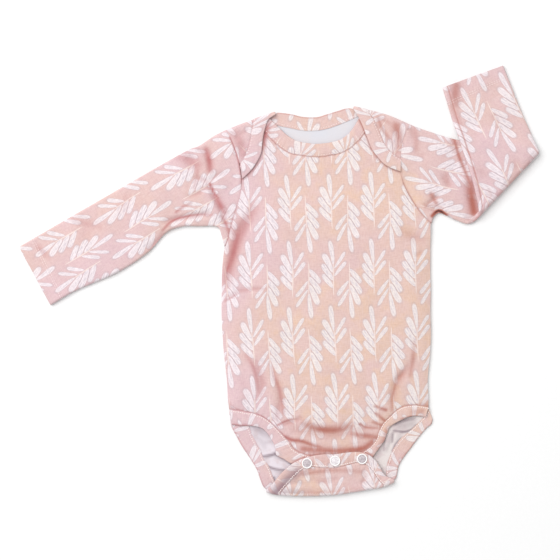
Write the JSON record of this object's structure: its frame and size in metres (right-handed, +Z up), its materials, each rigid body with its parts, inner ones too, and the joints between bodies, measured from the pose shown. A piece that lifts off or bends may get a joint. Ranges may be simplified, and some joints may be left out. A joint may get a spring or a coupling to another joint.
{
  "type": "baby onesie",
  "caption": "Long-sleeved cotton baby bodysuit with an envelope neck, bound leg openings and a snap crotch, laid flat on its back with a sleeve folded over at the elbow.",
  "frame": {"origin": "on the surface that the garment lies on, under the middle of its outline", "axes": "+X across the body towards the side of the folded sleeve, +Y from the crotch towards the neck, +Z up out of the surface"},
  "size_m": [0.5193, 0.4307, 0.0096],
  "materials": {
    "jersey_back": "cotton jersey, pink with a white leaf print on its face and plain white inside",
    "jersey_front": "cotton jersey, pink with a white leaf print",
    "jersey_sleeve_left": "cotton jersey, pink with a white leaf print",
    "jersey_sleeve_right": "cotton jersey, pink with a white leaf print",
    "binding_neck_back": "folded cotton jersey binding, pink with a white leaf print",
    "binding_neck_front": "folded cotton jersey binding, pink with a white leaf print",
    "binding_leg_back": "folded cotton jersey binding, pink with a white leaf print",
    "binding_leg_front": "folded cotton jersey binding, pink with a white leaf print",
    "snap_ring": "smooth white resin"
  },
  "bodies": {
    "root": {"back_panel": "jersey_back", "front_panel": "jersey_front", "sleeve_left": "jersey_sleeve_left", "sleeve_right": "jersey_sleeve_right", "neck_binding_back": "binding_neck_back", "neck_binding_front": "binding_neck_front", "leg_binding_back": "binding_leg_back", "leg_binding_front": "binding_leg_front", "snap_left": "snap_ring", "snap_centre": "snap_ring", "snap_right": "snap_ring"}
  },
  "joints": []
}
